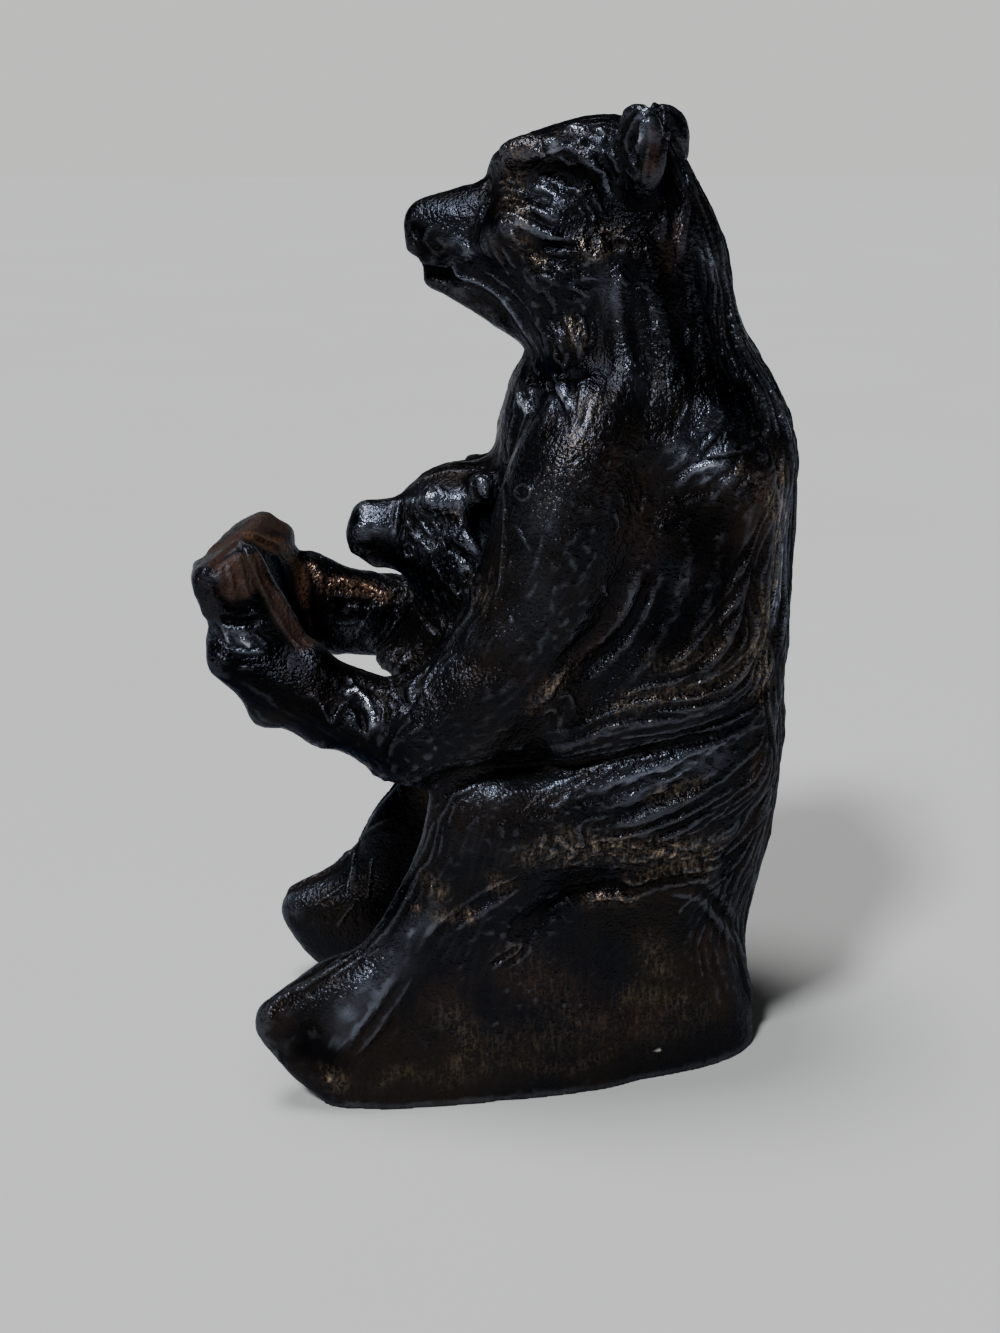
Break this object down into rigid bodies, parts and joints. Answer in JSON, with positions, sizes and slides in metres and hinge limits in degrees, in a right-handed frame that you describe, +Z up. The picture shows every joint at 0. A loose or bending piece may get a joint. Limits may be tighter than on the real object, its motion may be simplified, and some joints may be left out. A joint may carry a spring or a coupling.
{
  "type": "bear bookend",
  "caption": "Cast bookend of a seated mother bear that holds an open book for the cub in her lap. It stands on its flat base and books lean on her upright back.",
  "frame": {"origin": "on the ground under the middle of the casting's bounding box", "axes": "+Z up to the ear tips, +Y out of the back that the books lean on, so the bears look along -Y, +X to the mother's left"},
  "size_m": [0.0666, 0.1021, 0.165],
  "materials": {
    "bronze_patina": "near-black brown foundry patina, half gloss, rubbed to gold and copper on raised fur, red-brown on the book and inside the ears"
  },
  "bodies": {
    "root": {"bear_and_cub_casting": "bronze_patina"}
  },
  "joints": []
}
